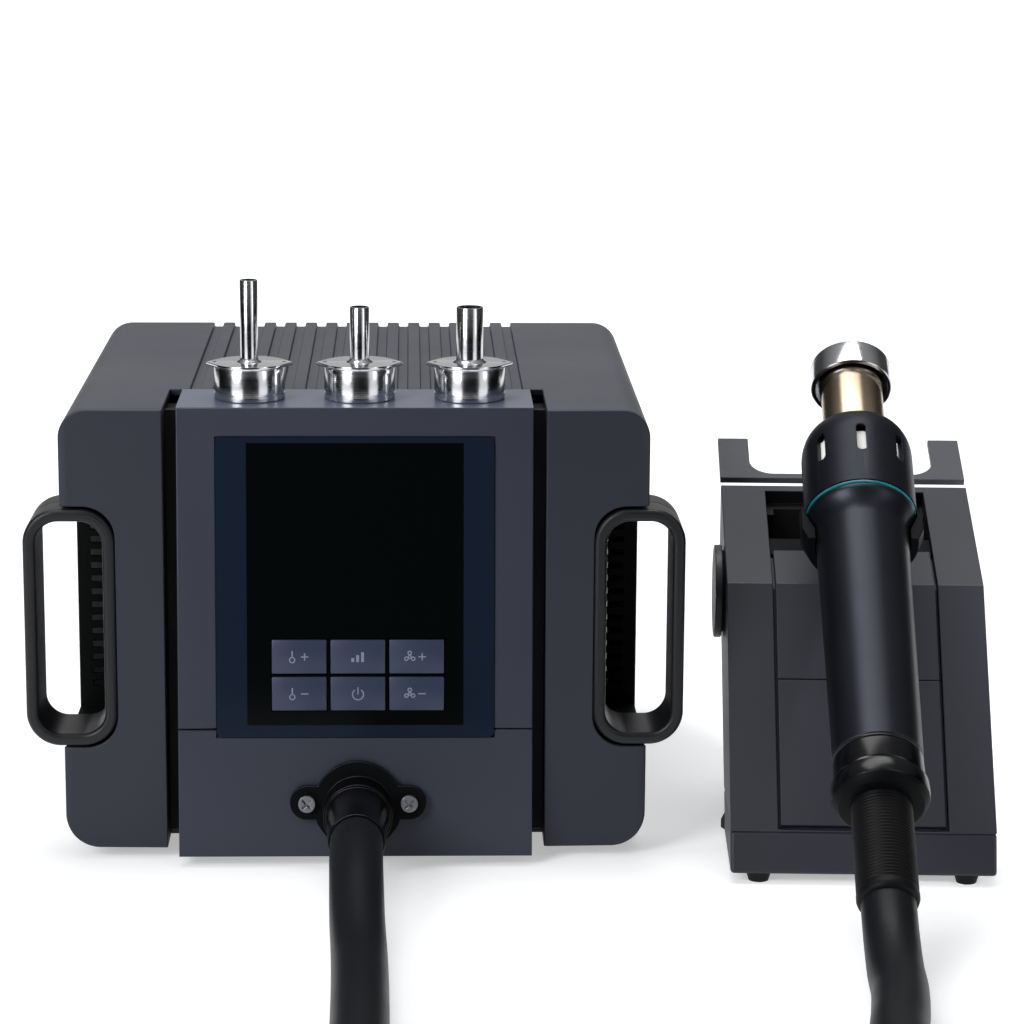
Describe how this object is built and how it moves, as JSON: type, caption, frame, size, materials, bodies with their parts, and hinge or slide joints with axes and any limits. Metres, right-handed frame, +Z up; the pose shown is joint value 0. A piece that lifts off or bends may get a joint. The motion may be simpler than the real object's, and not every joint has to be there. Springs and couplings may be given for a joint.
{
  "type": "hot air rework station",
  "caption": "Bench hot air rework station: slate console with display, keys, ring grips and spare nozzles, a hose and a heat gun lying in its sloping stand",
  "frame": {"origin": "on the table, in the middle of the box around the console, the stand and the gun", "axes": "+Z up, +Y away from the person in front of the display, +X to that person's right"},
  "size_m": [0.3442, 0.745, 0.2022],
  "materials": {
    "case_paint": "satin dark slate powder coat",
    "black_plastic": "matt black",
    "grip_plastic": "fine satin black",
    "display_glass": "clear glass printed dark blue at the back",
    "lcd_black": "dark display",
    "key_film": "satin blue grey",
    "board_green": "solder mask",
    "rear_paint": "satin dark grey",
    "rocker_plastic": "satin black",
    "foot_rubber": "matt black",
    "zinc_steel": "zinc plated",
    "bare_aluminium": "extruded, bare",
    "wheel_plastic": "moulded grey",
    "polished_chrome": "polished",
    "hose_rubber": "satin black",
    "gun_plastic": "satin black",
    "gun_gloss": "gloss black",
    "teal_plastic": "teal",
    "heat_tinted_steel": "straw heat tint",
    "ceramic": "fired ceramic",
    "mica": "pale insulation",
    "stand_paint": "satin dark slate",
    "base_paint": "satin dark slate",
    "fork_paint": "satin slate"
  },
  "bodies": {
    "station": {"main_sleeve": "case_paint", "cheek_left": "case_paint", "cheek_right": "case_paint", "upper_panel": "case_paint", "lower_panel": "case_paint", "recess_frame": "black_plastic", "pocket_left": "black_plastic", "pocket_right": "black_plastic", "power_inlet": "black_plastic", "switch_housing": "black_plastic", "fuse_holder": "black_plastic", "hose_flange": "black_plastic", "side_knob": "black_plastic", "saddle": "black_plastic", "blower_housing": "black_plastic", "blower_cover": "black_plastic", "air_duct": "black_plastic", "grip_left": "grip_plastic", "grip_right": "grip_plastic", "display_glass": "display_glass", "display_module": "lcd_black", "key_board": "board_green", "control_board": "board_green", "power_board": "board_green", "rear_panel": "rear_paint", "console_feet": "foot_rubber", "stand_feet": "foot_rubber", "base_tray": "zinc_steel", "transformer": "zinc_steel", "blower_motor": "zinc_steel", "shelf_magnets": "zinc_steel", "flange_screws": "zinc_steel", "heat_sink": "bare_aluminium", "air_hose": "hose_rubber", "stand_body": "stand_paint", "channel_panel_low": "stand_paint", "channel_panel_top": "stand_paint", "stand_base": "base_paint", "rest_fork": "fork_paint"},
    "gun": {"handle_shell": "gun_plastic", "tail_cap": "gun_gloss", "strain_boot": "hose_rubber", "vented_collar": "gun_plastic", "accent_ring": "teal_plastic", "heater_tube": "heat_tinted_steel", "nozzle_ring": "polished_chrome", "heater_core": "ceramic", "mica_sleeve": "mica"},
    "key_upper_left": {"key_upper_left": "key_film"},
    "key_upper_middle": {"key_upper_middle": "key_film"},
    "key_upper_right": {"key_upper_right": "key_film"},
    "key_lower_left": {"key_lower_left": "key_film"},
    "key_lower_middle": {"key_lower_middle": "key_film"},
    "key_lower_right": {"key_lower_right": "key_film"},
    "nozzle_narrow": {"nozzle_narrow": "polished_chrome"},
    "nozzle_medium": {"nozzle_medium": "polished_chrome"},
    "nozzle_wide": {"nozzle_wide": "polished_chrome"},
    "blower_wheel": {"blower_wheel": "wheel_plastic"},
    "power_rocker": {"power_rocker": "rocker_plastic"}
  },
  "joints": [
    {"name": "gun_lift", "type": "slide", "parent": "station", "child": "gun", "axis": [0, 0, 1], "range_m": [0, 0.06]},
    {"name": "nozzle_narrow_lift", "type": "slide", "parent": "station", "child": "nozzle_narrow", "axis": [0, 0, 1], "range_m": [0, 0.05]},
    {"name": "nozzle_medium_lift", "type": "slide", "parent": "station", "child": "nozzle_medium", "axis": [0, 0, 1], "range_m": [0, 0.05]},
    {"name": "nozzle_wide_lift", "type": "slide", "parent": "station", "child": "nozzle_wide", "axis": [0, 0, 1], "range_m": [0, 0.05]},
    {"name": "key_upper_left_press", "type": "slide", "parent": "station", "child": "key_upper_left", "axis": [0, 0.9953, -0.0964], "range_m": [0, 0.0005], "stiffness_N_per_m": 600, "springref_m": -0.001},
    {"name": "key_upper_middle_press", "type": "slide", "parent": "station", "child": "key_upper_middle", "axis": [0, 0.9953, -0.0964], "range_m": [0, 0.0005], "stiffness_N_per_m": 600, "springref_m": -0.001},
    {"name": "key_upper_right_press", "type": "slide", "parent": "station", "child": "key_upper_right", "axis": [0, 0.9953, -0.0964], "range_m": [0, 0.0005], "stiffness_N_per_m": 600, "springref_m": -0.001},
    {"name": "key_lower_left_press", "type": "slide", "parent": "station", "child": "key_lower_left", "axis": [0, 0.9953, -0.0964], "range_m": [0, 0.0005], "stiffness_N_per_m": 600, "springref_m": -0.001},
    {"name": "key_lower_middle_press", "type": "slide", "parent": "station", "child": "key_lower_middle", "axis": [0, 0.9953, -0.0964], "range_m": [0, 0.0005], "stiffness_N_per_m": 600, "springref_m": -0.001},
    {"name": "key_lower_right_press", "type": "slide", "parent": "station", "child": "key_lower_right", "axis": [0, 0.9953, -0.0964], "range_m": [0, 0.0005], "stiffness_N_per_m": 600, "springref_m": -0.001},
    {"name": "blower_spin", "type": "hinge", "parent": "station", "child": "blower_wheel", "pos_m": [-0.09131, 0.08097, 0.0526], "axis": [0, 1, 0], "continuous": true},
    {"name": "power_rock", "type": "hinge", "parent": "station", "child": "power_rocker", "pos_m": [-0.00531, 0.15337, 0.088], "axis": [-1, 0, 0], "range_deg": [0, 18]}
  ]
}
